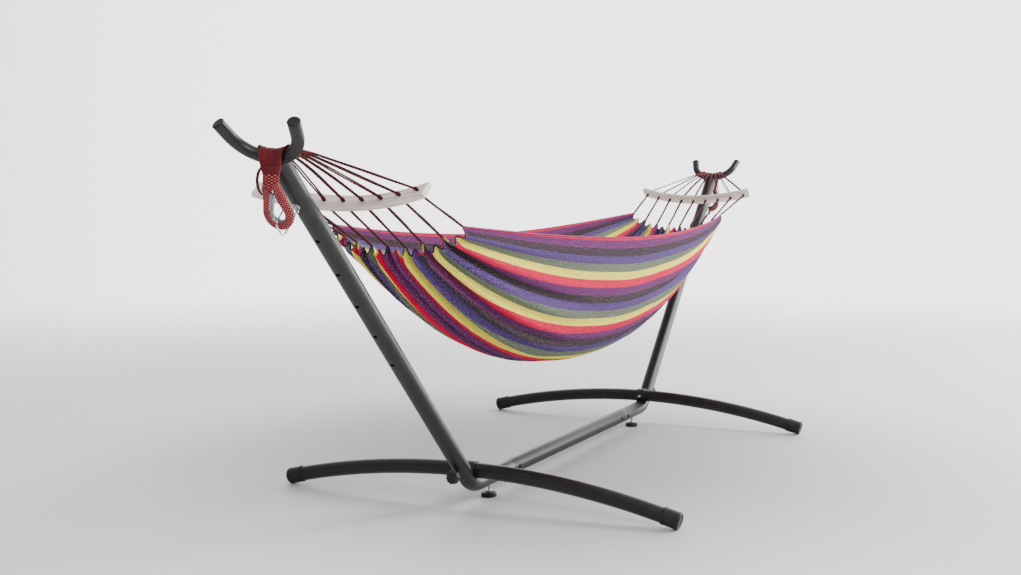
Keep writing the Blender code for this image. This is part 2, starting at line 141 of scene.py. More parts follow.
# ---- places --------------------------------------------------------------


def flat(s, out, z, y=0.0):
    return Vector((s * out, y, z))


def head(s, n, t, y=0.0):
    """A point from the saddle: `n` off the outer face of the upright, `t` up along it."""
    out = SADDLE_X + n * UP_Z + t * UP_OUT
    return flat(s, out, SADDLE_Z - n * UP_OUT + t * UP_Z, y)


def face_out(s):
    return Vector((s * UP_Z, 0.0, -UP_OUT))


def up_along(s):
    return Vector((s * UP_OUT, 0.0, UP_Z))


def arc(start, stop, steps):
    return [start + (stop - start) * i / steps for i in range(steps + 1)]


def rounded_path(corners, radius, steps):
    """Replace the inner corners of a polyline by arcs of one radius."""
    path = [corners[0]]
    for i in range(1, len(corners) - 1):
        corner = corners[i]
        to_back = (corners[i - 1] - corner).normalized()
        to_next = (corners[i + 1] - corner).normalized()
        half = 0.5 * to_back.angle(to_next)
        middle = corner + (to_back + to_next).normalized() * (radius / sin(half))
        first = corner + to_back * (radius / tan(half)) - middle
        second = corner + to_next * (radius / tan(half)) - middle
        pivot = first.cross(second).normalized()
        for turn in arc(0.0, first.angle(second), steps):
            path.append(middle + Matrix.Rotation(turn, 3, pivot) @ first)
    path.append(corners[-1])
    return path


def smooth_path(points, steps):
    """A Catmull-Rom curve through the points."""
    pts = [Vector(p) for p in points]
    pts = [2 * pts[0] - pts[1]] + pts + [2 * pts[-1] - pts[-2]]
    path = []
    for i in range(1, len(pts) - 2):
        p0, p1, p2, p3 = pts[i - 1], pts[i], pts[i + 1], pts[i + 2]
        for j in range(steps):
            t = j / steps
            place = 2 * p1 + (p2 - p0) * t
            place += (2 * p0 - 5 * p1 + 4 * p2 - p3) * t * t
            place += (3 * p1 - p0 - 3 * p2 + p3) * t * t * t
            path.append(0.5 * place)
    path.append(pts[-2].copy())
    return path


def distances(path):
    """The distance along a path at each of its points."""
    return [0.0, *accumulate(dist(a, b) for a, b in zip(path, path[1:]))]


# ---- mesh tools ----------------------------------------------------------


def add_object(name, data):
    item = bpy.data.objects.new(name, data)
    bpy.context.scene.collection.objects.link(item)
    return item


def add_mesh(name, verts, faces, look, uvs=None, sharp=None):
    """`uvs` holds one pair for each corner of each face, in order."""
    mesh = bpy.data.meshes.new(name)
    mesh.from_pydata([tuple(v) for v in verts], [], faces)
    if uvs is not None:
        layer = mesh.uv_layers.new(name="run")
        layer.data.foreach_set("uv", np.asarray(uvs, float).ravel())
    mesh.shade_smooth()
    if sharp is not None:
        mesh.set_sharp_from_angle(angle=radians(sharp))
    mesh.materials.append(look)
    return add_object(name, mesh)


def path_frames(path, up=None, closed=False):
    """Centre, side and rise along a path, turned as little as possible."""
    count = len(path)
    tangents = []
    for i in range(count):
        if closed:
            step = path[(i + 1) % count] - path[i - 1]
        else:
            step = path[min(i + 1, count - 1)] - path[max(i - 1, 0)]
        tangents.append(step.normalized())
    side = Vector(up) if up is not None else tangents[0].orthogonal()
    frames = []
    for centre, along in zip(path, tangents):
        side = (side - along * side.dot(along)).normalized()
        frames.append((centre, side, along.cross(side)))
    return frames


class Shell:
    """Collects swept tubes, rings and loose grids for one mesh."""

    def __init__(self):
        self.verts = []
        self.faces = []
        self.uvs = []

    def grid(self, rows, run, wrap_rows=False, wrap_cols=True):
        """Skin rows of points; `run` gives the distance along for each row."""
        base = len(self.verts)
        cols = len(rows[0])
        for row in rows:
            self.verts.extend(row)
        last_row = len(rows) if wrap_rows else len(rows) - 1
        last_col = cols if wrap_cols else cols - 1
        for i in range(last_row):
            for j in range(last_col):
                a = base + i * cols + j
                b = base + i * cols + (j + 1) % cols
                c = base + ((i + 1) % len(rows)) * cols + (j + 1) % cols
                d = base + ((i + 1) % len(rows)) * cols + j
                self.faces.append((a, b, c, d))
                low, high = run[i], run[i + 1]
                u0, u1 = j / last_col, (j + 1) / last_col
                self.uvs.extend(((u0, low), (u1, low), (u1, high), (u0, high)))
        return base

    def cap(self, first, count, flip):
        face = list(range(first, first + count))
        if flip:
            face.reverse()
        self.faces.append(tuple(face))
        self.uvs.extend([(i / count, 0.0) for i in range(count)])

    def rod(self, rows, run):
        """Skin rows of points and close both ends."""
        base = self.grid(rows, run)
        count = len(rows[0])
        self.cap(base, count, True)
        self.cap(base + (len(rows) - 1) * count, count, False)

    def tube(self, path, radius, sides=16, up=(0, 1, 0), closed=False, shape=None):
        """Sweep a round section; `shape(turn, run, i)` may scale it to (side, rise)."""
        frames = path_frames(path, up, closed)
        radii = radius if hasattr(radius, "__len__") else [radius] * len(path)
        run = distances(path + path[:1] if closed else path)
        rows = []
        for i, (centre, side, rise) in enumerate(frames):
            row = []
            for turn in arc(0.0, tau, sides)[:-1]:
                wide, high = shape(turn, run[i], i) if shape else (1.0, 1.0)
                spot = centre + side * (radii[i] * wide * cos(turn))
                row.append(spot + rise * (radii[i] * high * sin(turn)))
            rows.append(row)
        if closed:
            self.grid(rows, run, wrap_rows=True)
        else:
            self.rod(rows, run)

    def turned(self, profile, centre, axis, sides=32, lobes=0, depth=0.0, soft=0.0):
        """Turn (radius, height[, lobed]) stations about an axis, ends closed."""
        if soft:
            profile = rounded_profile(profile, soft)
        axis = Vector(axis).normalized()
        side = axis.orthogonal().normalized()
        rise = axis.cross(side)
        rows = []
        for radius, height, *lobed in profile:
            row = []
            for turn in arc(0.0, tau, sides)[:-1]:
                reach = radius
                if lobed:
                    reach -= depth * (0.5 + 0.5 * cos(lobes * turn)) * lobed[0]
                spot = Vector(centre) + axis * height
                spot += side * (reach * cos(turn)) + rise * (reach * sin(turn))
                row.append(spot)
            rows.append(row)
        self.rod(rows, distances([station[:2] for station in profile]))

    def make(self, name, look, sharp=None):
        item = add_mesh(name, self.verts, self.faces, look, self.uvs, sharp)
        bm = bmesh.new()
        bm.from_mesh(item.data)
        bmesh.ops.recalc_face_normals(bm, faces=bm.faces)
        bm.to_mesh(item.data)
        bm.free()
        return item


def rounded_profile(stations, radius):
    """Round every inner corner of a (radius, height) outline."""
    points = [Vector((r, 0.0, h)) for r, h in stations]
    path = [points[0]]
    for i in range(1, len(points) - 1):
        back = (points[i - 1] - points[i]).length
        ahead = (points[i + 1] - points[i]).length
        reach = min(radius, 0.45 * back, 0.45 * ahead)
        before = points[i] + (points[i - 1] - points[i]).normalized() * reach
        after = points[i] + (points[i + 1] - points[i]).normalized() * reach
        for t in arc(0.0, 1.0, 4):
            spot = before * (1 - t) ** 2 + points[i] * (2 * t * (1 - t)) + after * t * t
            path.append(spot)
    path.append(points[-1])
    return [(p.x, p.z) for p in path]


def place(item, body, slot, *nodes):
    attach(item, body)
    if nodes:
        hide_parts(*nodes)
    return item


# ---- materials -----------------------------------------------------------


class Graph:
    """One material's nodes, or the world's, added and joined by short calls."""

    def __init__(self, owner, shader, **values):
        owner.use_nodes = True
        self.owner = owner
        self.tree = owner.node_tree
        self.places = self.node("TexCoord").outputs
        self.shader = self.tree.nodes[shader]
        self.fill(self.shader, values)

    def put(self, socket, value):
        if isinstance(value, bpy.types.NodeSocket):
            self.tree.links.new(value, socket)
        else:
            socket.default_value = value

    def fill(self, node, values):
        for name, value in values.items():
            self.put(node.inputs[name.replace("_", " ")], value)

    def node(self, kind, **values):
        node = self.tree.nodes.new("ShaderNode" + kind)
        self.fill(node, values)
        return node

    def math(self, operation, *values):
        node = self.node("Math")
        node.operation = operation
        for socket, value in zip(node.inputs, (*values, 0.0, 0.0)):
            self.put(socket, value)
        return node.outputs[0]

    def times(self, first, second):
        return self.math("MULTIPLY", first, second)

    def plus(self, first, second):
        return self.math("ADD", first, second)

    def minus(self, first, second):
        return self.math("SUBTRACT", first, second)

    def wave(self, value, period):
        return self.math("SINE", self.times(value, tau / period))

    def split(self, source="UV"):
        return self.node("SeparateXYZ", Vector=self.places[source]).outputs[:]

    def noise(self, scale, detail=3.0, rough=0.5, stretch=(1, 1, 1), source="Object"):
        spread = self.node("Mapping", Vector=self.places[source], Scale=stretch).outputs[0]
        node = self.node("TexNoise", Vector=spread, Scale=scale, Detail=detail, Roughness=rough)
        return node.outputs["Fac"]

    def ramp(self, value, stops, blend="LINEAR"):
        node = self.node("ValToRGB", Fac=value)
        node.color_ramp.interpolation = blend
        band = node.color_ramp.elements
        while len(band) < len(stops):
            band.new(1.0)
        for element, (where, tone) in zip(band, stops):
            element.position = where
            element.color = (*tone, 1.0) if hasattr(tone, "__len__") else (tone, tone, tone, 1.0)
        return node.outputs["Color"]

    def mix(self, share, first, second, how="MIX"):
        node = self.node("Mix")
        node.data_type = "RGBA"
        node.blend_type = how
        for spot, value in ((0, share), (6, first), (7, second)):
            self.put(node.inputs[spot], (*value, 1.0) if isinstance(value, tuple) else value)
        return node.outputs[2]

    def range(self, value, low, high, first=0.0, last=1.0, blend="LINEAR"):
        node = self.node("MapRange", Value=value, From_Min=first, From_Max=last, To_Min=low, To_Max=high)
        node.interpolation_type = blend
        return node.outputs["Result"]

    def bump(self, height, strength, distance):
        node = self.node("Bump", Height=height, Strength=strength, Distance=distance)
        self.put(self.shader.inputs["Normal"], node.outputs["Normal"])

    def colour(self, value):
        self.put(self.shader.inputs["Base Color"], value)

    def rough(self, value):
        self.put(self.shader.inputs["Roughness"], value)


def paint(name, roughness, **values):
    return Graph(bpy.data.materials.new(name), "Principled BSDF", Roughness=roughness, **values)


def powder_coat(name, dark, light, low, high, shine):
    """Powder-coated steel: fine orange peel, faint mottling and rubbed patches."""
    g = paint(name, 0.34, Metallic=0.12, Specular_IOR_Level=shine)
    peel = g.noise(1500.0, 2.0)
    mottle = g.noise(38.0, 5.0, 0.6)
    rub = g.noise(9.0, 6.0, 0.7)
    g.colour(g.ramp(mottle, [(0.3, dark), (0.72, light)]))
    g.rough(g.range(rub, low, high))
    g.bump(peel, 0.18, 0.0003)
    return g.owner


def moulded_plastic(name, dark, light, roughness):
    g = paint(name, roughness, Specular_IOR_Level=0.26)
    grain = g.noise(2400.0, 3.0, 0.6)
    mottle = g.noise(60.0, 4.0, 0.5)
    g.colour(g.ramp(mottle, [(0.3, dark), (0.7, light)]))
    g.rough(g.range(mottle, roughness - 0.08, roughness + 0.1))
    g.bump(grain, 0.35, 0.0002)
    return g.owner


def bright_metal(name, dark, light, low, high, scratch):
    """Plated wire or pressed steel with fine drawing lines and dull spots."""
    g = paint(name, low, Metallic=1.0)
    lines = g.noise(4.0, 4.0, 0.7, (60.0, 60.0, 900.0))
    spots = g.noise(260.0, 5.0, 0.65)
    g.colour(g.ramp(spots, [(0.25, dark), (0.65, light)]))
    g.rough(g.range(spots, low, high))
    g.bump(lines, scratch, 0.0002)
    return g.owner


def braided(name, count, pitch, shade_to_highlight, fleck, relief):
    """A braided cord: `count` carriers each way round, `pitch` metres along; its colour holds painted shade
    in the weave's hollows and a painted highlight on the crossings.
    """
    g = paint(name, 0.76, Sheen_Weight=0.04, Specular_IOR_Level=0.25)
    u, v, _ = g.split()
    around = g.times(u, float(count))
    along = g.math("DIVIDE", v, pitch)
    carriers = (g.plus(around, along), g.minus(around, along))
    weave = g.times(*(g.math("ABSOLUTE", g.wave(turn, 2.0)) for turn in carriers))
    fuzz = g.noise(900.0, 4.0, 0.7)
    slow = g.noise(55.0, 2.0, 0.5)
    height = g.plus(g.times(weave, 0.8), g.times(fuzz, 0.35))
    tone = g.plus(height, g.times(g.minus(slow, 0.5), fleck))
    # Colour follows the weave's height: painted shade in the hollows, the cord's own colour between, and a
    # painted highlight on the crossings; the slow noise adds real flecks.
    g.colour(g.ramp(tone, list(zip((0.14, 0.48, 0.86), shade_to_highlight))))
    g.bump(height, relief, 0.0006)
    return g.owner


def laid_wood(name):
    """Pale sealed wood: grain along Y, growth bands, pores and a soft sheen."""
    g = paint(name, 0.5, Specular_IOR_Level=0.4, Coat_Weight=0.08, Coat_Roughness=0.4)
    grain = g.noise(3.0, 6.0, 0.62, (26.0, 1.5, 26.0))
    bands = g.noise(6.0, 2.0, 0.5, (5.0, 0.5, 5.0))
    pores = g.noise(4.0, 3.0, 0.7, (190.0, 7.0, 190.0))
    tone = g.plus(g.times(grain, 0.6), g.times(bands, 0.4))
    base = g.ramp(tone, [(0.34, (0.58, 0.43, 0.36)), (0.5, (0.86, 0.72, 0.64)), (0.64, (0.96, 0.86, 0.8))])
    dots = g.ramp(pores, [(0.6, 0.0), (0.75, 0.35)])
    g.colour(g.mix(dots, base, (0.38, 0.29, 0.24)))
    g.rough(g.range(grain, 0.42, 0.62))
    g.bump(g.minus(grain, g.times(pores, 0.6)), 0.25, 0.0005)
    return g.owner


STRIPES = (
    (0.15, 0.018, 0.13),
    (0.038, 0.018, 0.026),
    (0.085, 0.038, 0.2),
    (0.15, 0.19, 0.12),
    (1.0, 0.86, 0.11),
    (0.74, 0.005, 0.066),
)
HEATHER = (0.3, 0.34, 0.4, 0.4, 0.05, 0.04)
HEM_SHARE = 0.36
STRIPE_WIDE = 0.5 * SHEET_WIDE / (19.5 + HEM_SHARE)


def stripe_ramps(g, across):
    """Stripe colour and heather at a distance across the cloth, mirrored about its middle."""
    edge = g.math("MINIMUM", across, g.minus(SHEET_WIDE, across))
    count = g.minus(g.math("DIVIDE", edge, STRIPE_WIDE), HEM_SHARE)
    share = g.math("FRACT", g.math("DIVIDE", g.plus(count, 600.0), 6.0))
    colour = g.ramp(share, [(i / 6.0, tone) for i, tone in enumerate(STRIPES)], "CONSTANT")
    return colour, g.ramp(share, [(i / 6.0, tone) for i, tone in enumerate(HEATHER)], "CONSTANT")


def striped_cloth(name):
    """Handloom cotton: mirrored lengthwise stripes of heathered warp, plain weave."""
    g = paint(name, 0.9, Sheen_Weight=0.02, Sheen_Roughness=0.4, Specular_IOR_Level=0.08)
    u, v, _ = g.split()
    across = g.times(u, SHEET_WIDE)
    yarns = g.noise(1.0, 3.0, 0.7, (520.0, 22.0, 1.0), "UV")
    flecks = g.noise(1.0, 3.0, 0.75, (210.0, 230.0, 1.0), "UV")
    wander = g.noise(1.0, 2.0, 0.5, (30.0, 8.0, 1.0), "UV")
    shift = g.times(g.minus(wander, 0.5), 0.0016)
    colour, heather = stripe_ramps(g, g.plus(across, shift))
    warp = g.wave(across, 0.0016)
    weft = g.wave(v, 0.002)
    weave = g.times(warp, weft)
    mixed = g.plus(g.times(yarns, 0.4), g.times(flecks, 0.6))
    shade = g.ramp(mixed, [(0.36, 0.55), (0.5, 1.0), (0.66, 1.45)])
    toned = g.mix(1.0, colour, shade, "MULTIPLY")
    threads = g.times(g.ramp(flecks, [(0.5, 0.0), (0.62, 1.0)]), heather)
    light = g.mix(threads, toned, (0.42, 0.36, 0.44))
    dark = g.times(g.ramp(flecks, [(0.38, 1.0), (0.48, 0.0)]), g.times(heather, 1.6))
    g.colour(g.mix(dark, light, (0.012, 0.006, 0.012)))
    g.rough(g.range(flecks, 0.8, 0.96))
    height = g.plus(g.times(weave, 0.35), g.times(flecks, 0.9))
    g.bump(height, 0.6, 0.001)
    return g.owner


STEEL = powder_coat("charcoal_coat", (0.009, 0.009, 0.0095), (0.017, 0.017, 0.0175), 0.33, 0.46, 0.44)
# The base tube has the same coat as the uprights; this copy is darker as painted shade, and has less shine.
BASE_STEEL_SHADED = powder_coat("base_coat_shaded", (0.007, 0.007, 0.0075), (0.013, 0.013, 0.0135), 0.34, 0.46, 0.18)
FOOT_STEEL = powder_coat("foot_coat", (0.008, 0.008, 0.01), (0.014, 0.014, 0.017), 0.34, 0.46, 0.42)
BLACK = moulded_plastic("black_plastic", (0.01, 0.01, 0.011), (0.022, 0.022, 0.024), 0.48)
CHROME = bright_metal("chrome_wire", (0.4, 0.41, 0.43), (0.68, 0.69, 0.71), 0.1, 0.26, 0.12)
GALVANISED = bright_metal("galvanised", (0.24, 0.24, 0.25), (0.42, 0.42, 0.43), 0.34, 0.58, 0.25)
# Each triple: painted shade for the weave's hollows, the cord's own colour, and a painted highlight for the
# crossings.
CORD_SHADE_TO_HIGHLIGHT = (0.03, 0.003, 0.006), (0.062, 0.006, 0.011), (0.12, 0.013, 0.02)
ROPE_SHADE_TO_HIGHLIGHT = (0.012, 0.001, 0.002), (0.17, 0.006, 0.012), (0.66, 0.15, 0.15)
BINDING_SHADE_TO_HIGHLIGHT = (0.022, 0.001, 0.002), (0.12, 0.006, 0.011), (0.3, 0.026, 0.036)
CORD = braided("cord_braid", 4, 0.0026, CORD_SHADE_TO_HIGHLIGHT, 0.2, 0.3)
ROPE = braided("rope_braid", 8, 0.0056, ROPE_SHADE_TO_HIGHLIGHT, 0.2, 0.7)
BINDING = braided("binding_cord", 6, 0.0032, BINDING_SHADE_TO_HIGHLIGHT, 0.3, 0.4)
WOOD = laid_wood("pale_wood")
CLOTH = striped_cloth("striped_cloth")

# ---- camera --------------------------------------------------------------

YAW = radians(25.1)
PITCH = radians(4.31)
ROLL = radians(0.233)
FOCAL_PX = 1256.4
PICTURE_WIDE = 1021


def build_camera():
    forward = Vector((cos(PITCH) * cos(YAW), cos(PITCH) * sin(YAW), -sin(PITCH)))
    level = Vector((sin(YAW), -cos(YAW), 0.0))
    lift = level.cross(forward)
    right = cos(ROLL) * level + sin(ROLL) * lift
    rise = -sin(ROLL) * level + cos(ROLL) * lift
    lens = bpy.data.cameras.new("camera")
    lens.sensor_width = 36.0
    lens.lens = FOCAL_PX * 36.0 / PICTURE_WIDE
    lens.clip_end = 100.0
    eye = add_object("camera", lens)
    turn = Matrix((right, rise, -forward)).transposed().to_4x4()
    eye.matrix_world = Matrix.Translation((-3.3817, -1.3895, 0.7733)) @ turn
    bpy.context.scene.camera = eye


# ---- cords ---------------------------------------------------------------


def bar_frame(s, y):
    """Middle point, outward-up normal and width direction of the bar at `y`."""
    turn = asin(y / BAR_ARC)
    lift = BAR_ARC * (1.0 - cos(turn))
    up = Vector((s * cos(BAR_TILT), 0.0, sin(BAR_TILT)))
    wide = Vector((-s * sin(BAR_TILT), 0.0, cos(BAR_TILT)))
    spot = Vector((s * BAR_X, y, BAR_Z)) + up * lift
    normal = up * cos(turn) - Vector((0.0, 1.0, 0.0)) * sin(turn)
    return spot, normal, wide


def bed_point(across, along):
    """The bed's middle surface; `across` and `along` both run from -1 to 1."""
    reach = abs(along)
    half = 0.165 + 0.071 * (1.0 - reach**2.5)
    rim = 0.652 + 0.049 * reach**1.8
    low = 0.3 + 0.356 * reach**2.25
    share = sin(BED_TURN * across) / sin(BED_TURN)
    x = along * (BED_HALF - BED_CORNER * share * share)
    return Vector((x, half * share, low + (rim - low) * abs(share) ** 2.6))


def cord_route(s, index):
    step = index - 4
    start = flat(s, CORD_START_X, CORD_TOP_Z, step * CORD_PITCH)
    spot, normal, _ = bar_frame(s, BAR_HOLE_PITCH * step)
    share = step / 4.0
    across = asin(share * sin(BED_TURN)) / BED_TURN
    edge = bed_point(across, s)
    inward = bed_point(across, s * 0.98)
    outward = (edge - inward).normalized()
    clear = normal * (0.5 * BAR_THICK + BAR_CLEAR)
    return [start, spot + clear, spot - clear, edge + outward * 0.0016]


def strand_path(s, index, hand):
    """One of the two strands of a cord: apart above the bar, side by side below it."""
    start, over, under, edge = cord_route(s, index)
    path = []
    for i in range(25):
        t = i / 24.0
        spot = start.lerp(over, t)
        wander = 0.0006 * sin(3.0 * pi * t + 1.7 * index) * sin(pi * t)
        gap = STRAND_GAP + (PAIR_GAPS[index] - STRAND_GAP) * sin(pi * t) ** 0.6
        bow = PAIR_BOWS[index] * sin(pi * t**0.75)
        path.append(spot + Vector((0.0, hand * gap + wander, bow - 0.0006 * hand * sin(pi * t))))
    aside = Vector((0.0, hand * STRAND_GAP, 0.0))
    path += [over.lerp(under, i / 3.0) + aside for i in range(1, 4)]
    for i in range(1, 17):
        t = i / 16.0
        drift = 0.0005 * sin(tau * t + 1.3 * index) * sin(pi * t)
        path.append(under.lerp(edge, t) + aside + Vector((0.0, drift, hand * drift)))
    return path


def knot(shell, centre, along, length):
    """A barrel of two turns of cord with a hump, lying along a cord."""
    along = along.normalized()
    side = along.orthogonal().normalized()
    rise = along.cross(side)
    path = []
    for t in arc(0.0, 1.0, 28):
        turn = 2.0 * tau * t
        reach = 0.0027 * (0.8 + 0.2 * sin(pi * t))
        spot = centre + along * (length * (t - 0.5))
        path.append(spot + side * (reach * cos(turn)) + rise * (reach * sin(turn)))
    shell.tube(path, STRAND_R * 1.05, 8, up=along)


def build_cords():
    """Every cord is a doubled strand; each strand is its own mesh."""
    for tag, s in ENDS:
        for index in range(CORD_COUNT):
            for part, hand in (("p", 1), ("q", -1)):
                path = strand_path(s, index, hand)
                shell = Shell()
                shell.tube(path, STRAND_R, 8)
                item = shell.make(f"strand_{tag}{index + 1}{part}", CORD)
                place(item, "hammock", "cord", f"cord_{tag}{index + 1}")


def build_knots():
    for tag, s in ENDS:
        shell = Shell()
        for index in range(CORD_COUNT):
            start, over, under, edge = cord_route(s, index)
            pull = (start - over).normalized()
            knot(shell, over + pull * 0.0034, pull, 0.0056)
            run = (under - edge).normalized()
            knot(shell, under - run * 0.0024, run, 0.0046)
        place(shell.make(f"bar_knots_{tag}", CORD), "hammock", "cord")


# ---- spreader bars -------------------------------------------------------


def build_bars():
    outline = []
    soft = 0.0014
    for corner, (a, b) in enumerate(((1, 1), (-1, 1), (-1, -1), (1, -1))):
        for turn in arc(90.0 * corner, 90.0 * corner + 90.0, 4):
            wide = a * (0.5 * BAR_WIDE - soft) + soft * cos(radians(turn))
            outline.append((wide, b * (0.5 * BAR_THICK - soft) + soft * sin(radians(turn))))
    for tag, s in ENDS:
        shell = Shell()
        rows = []
        for share in arc(-1.0, 1.0, 60):
            y = BAR_HALF * sin(0.5 * pi * share)
            spot, normal, wide = bar_frame(s, y)
            taper = 1.0 - 0.1 * (max(0.0, abs(y) - BAR_HALF + 0.0016) / 0.0016) ** 3
            rows.append([spot + wide * (a * taper) + normal * (b * taper) for a, b in outline])
        shell.rod(rows, distances([row[0] for row in rows]))
        item = shell.make(f"bar_{tag}", WOOD, 50.0)
        drill = Shell()
        for index in range(CORD_COUNT):
            spot, normal, _ = bar_frame(s, BAR_HOLE_PITCH * (index - 4))
            drill.tube([spot - normal * 0.012, spot + normal * 0.012], 0.0042, 20, None)
        carve(item, drill)
        place(item, "hammock", "wood", f"spreader_bar_{tag}")


def carve(item, shell, bevel=0.0004):
    """Cut the shell's closed solids out of `item` and soften the new edges."""
    tool = shell.make("cutter", BLACK)
    change = item.modifiers.new("cut", "BOOLEAN")
    change.operation = "DIFFERENCE"
    change.solver = "EXACT"
    change.object = tool
    soft = item.modifiers.new("soft", "BEVEL")
    soft.limit_method = "ANGLE"
    soft.angle_limit = radians(50.0)
    soft.width = bevel
    soft.segments = 2
    even = item.modifiers.new("even", "WEIGHTED_NORMAL")
    even.keep_sharp = True
    depsgraph = bpy.context.evaluated_depsgraph_get()
    done = bpy.data.meshes.new_from_object(item.evaluated_get(depsgraph))
    item.modifiers.clear()
    item.data = done
    bpy.data.objects.remove(tool, do_unlink=True)


# ---- bed -----------------------------------------------------------------


def pleat_wave(share):
    """1 at each cord, a lower peak halfway to the next, 0 in the folds between."""
    phase = pi * 8.0 * (share + 1.0)
    tall = 0.6 + 0.4 * cos(0.5 * phase) ** 2
    return (0.5 + 0.5 * cos(2.0 * phase)) ** 1.3 * tall


def cloth_point(share, along):
    """A point of the bed without gathers, and its move for each metre of their depth."""
    across = asin(max(-1.0, min(1.0, share * sin(BED_TURN)))) / BED_TURN
    spot = bed_point(across, along)
    step = 1e-3
    side = 1.0 if across < 0.9 else -1.0
    run = bed_point(across, along + step) - bed_point(across, along - step)
    turn = (bed_point(across + side * step, along) - spot) * side
    normal = run.cross(turn).normalized()
    ripple = 0.0024 * noise.noise(Vector((3.1 * spot.x, 9.0 * spot.y, 4.0 * spot.z)))
    ripple += 0.0018 * noise.noise(Vector((1.3 * spot.x, 34.0 * share, 7.7)))
    room = 1.0 - abs(share) ** 12
    fold = 1.0 - pleat_wave(share)
    slack = exp(-(((1.0 - abs(along)) / 0.027) ** 2))
    spot += normal * (ripple * room)
    spot.x -= copysign(PLEAT_DIP * fold * slack, along)
    return spot, normal * (-fold * (0.35 + 0.65 * room))


BED_ROWS = 150
BED_COLS = 480
END_SHARE = 0.8


def cloth_rows():
    """Rows of points across the flat cloth; gathers take up its spare width.

    Towards the ends the cloth crowds to its sides and pulls smooth along its middle.
    """
    rows = []
    for i in range(BED_ROWS + 1):
        even = -1.0 + 2.0 * i / BED_ROWS
        along = sin(0.5 * pi * even * 0.93) / sin(0.5 * pi * 0.93)
        parts = [cloth_point(share, along) for share in arc(-1.0, 1.0, 600)]
        smooth, move = (np.array(part) for part in zip(*parts))
        target = SHEET_WIDE * (1.0 - (1.0 - END_SHARE) * abs(along) ** 3)
        low, high = 0.0, 0.04
        for _ in range(10):
            depth = 0.5 * (low + high)
            line = smooth + move * depth
            run = np.concatenate(([0.0], np.cumsum(np.linalg.norm(np.diff(line, axis=0), axis=1))))
            low, high = (depth, high) if run[-1] < target else (low, depth)
        part = np.linspace(-1.0, 1.0, BED_COLS + 1)
        crowd = 0.35 * along**2
        want = run[-1] * 0.5 * (1.0 + (1.0 + crowd) * part - crowd * part**3)
        rows.append(np.stack([np.interp(want, run, line[:, k]) for k in range(3)], axis=1))
    return rows


def thicken(item, thickness):
    skin = item.modifiers.new("thick", "SOLIDIFY")
    skin.thickness = thickness
    skin.offset = 0.0


def build_bed():
    rows = cloth_rows()
    run = distances([row[BED_COLS // 2] for row in rows])
    shell = Shell()
    shell.grid([[Vector(p) for p in row] for row in rows], run, wrap_cols=False)
    cloth = add_mesh("bed_cloth", shell.verts, shell.faces, CLOTH, shell.uvs)
    thicken(cloth, SHEET_THICK)
    place(cloth, "hammock", "cloth", "hammock_bed")
    for name, points, up, look in (
        ("hem_end_a", rows[0], (1, 0, 0), HEM_END),
        ("hem_end_b", rows[-1], (1, 0, 0), HEM_END),
        ("hem_side_l", [row[-1] for row in rows], (0, 0, 1), HEM_SIDE),
        ("hem_side_r", [row[0] for row in rows], (0, 0, 1), HEM_SIDE),
    ):
        shell = Shell()
        shell.tube([Vector(p) for p in points], HEM_R, 8, up)
        place(shell.make(name, look), "hammock", "cloth")


def rolled_hem(name, length):
    """The turned edge of the cloth with its stitches; an end's hem carries the stripes, darkened as painted
    shade.
    """
    g = paint(name, 0.9, Sheen_Weight=0.02, Specular_IOR_Level=0.08)
    u, v, _ = g.split()
    fuzz = g.noise(700.0, 4.0, 0.7)
    stitch = g.wave(v, 0.0055)
    seam = g.math("GREATER_THAN", g.times(stitch, g.math("COMPARE", u, 0.25, 0.06)), 0.1)
    if length:
        base, _ = stripe_ramps(g, g.times(v, SHEET_WIDE / length))
    else:
        base = g.ramp(fuzz, [(0.3, (0.24, 0.006, 0.07)), (0.7, (0.38, 0.016, 0.11))])
    # On an end's hem the stripes are multiplied down to 0.3–0.66 as painted shade; on a side hem the fuzz
    # varies the tone at random.
    shade = g.ramp(fuzz, [(0.3, 0.3), (0.7, 0.66)] if length else [(0.3, 0.65), (0.7, 1.25)])
    toned = g.mix(1.0, base, shade, "MULTIPLY")
    g.colour(g.mix(seam, toned, (0.45, 0.3, 0.36)))
    g.bump(g.plus(fuzz, g.times(seam, 0.8)), 0.6, 0.0006)
    return g.owner


HEM_END = rolled_hem("hem_end", SHEET_WIDE * END_SHARE)
HEM_SIDE = rolled_hem("hem_side", None)

# ---- rope ends -----------------------------------------------------------

BAND_BEND = FORK_R + 0.0008 + 0.5 * BAND_THICK
FAN = (0.052, 0.043, 0.0325, 0.0275, 0.0256, 0.0248, 0.0242, 0.0236, 0.023, 0.0214, 0.0168, 0.015)


def saddle_route(s, share, hand):
    """One strand: fanned on the fork, gathered over it and down into the binding."""
    top = SADDLE_Z + BAND_BEND
    route = [(CORD_START_X, CORD_TOP_Z, 105.0, 0.0), (SADDLE_X - 0.0185, top - 0.0006, 98.0, 0.45)]
    for turn in arc(90.0, 0.0, 6):
        angle = radians(turn)
        out = SADDLE_X + BAND_BEND * cos(angle)
        route.append((out, SADDLE_Z + BAND_BEND * sin(angle), turn, 1.0))
    route += [(NECK_X, 0.824, 0.0, 0.8), (NECK_X, 0.812, 0.0, 0.3), (NECK_X, 0.8, 0.0, 0.0)]
    path = []
    for k, ((out, z, turn, follow), half) in enumerate(zip(route, FAN)):
        if k == 1:
            z -= 0.006 * abs(share)
        gap = STRAND_GAP + (0.0005 - STRAND_GAP) * min(1.0, k / 6.0)
        y = half * share + hand * gap
        angle = radians(turn)
        lift = 0.0022 * follow * (y / 0.052) ** 2
        ride = follow * (FORK_BEND - sqrt(FORK_BEND**2 - y * y))
        spot_out = out + lift * cos(angle) + ride * UP_OUT
        path.append(flat(s, spot_out, z + lift * sin(angle) + ride * UP_Z, y))
    return smooth_path(path, 5)


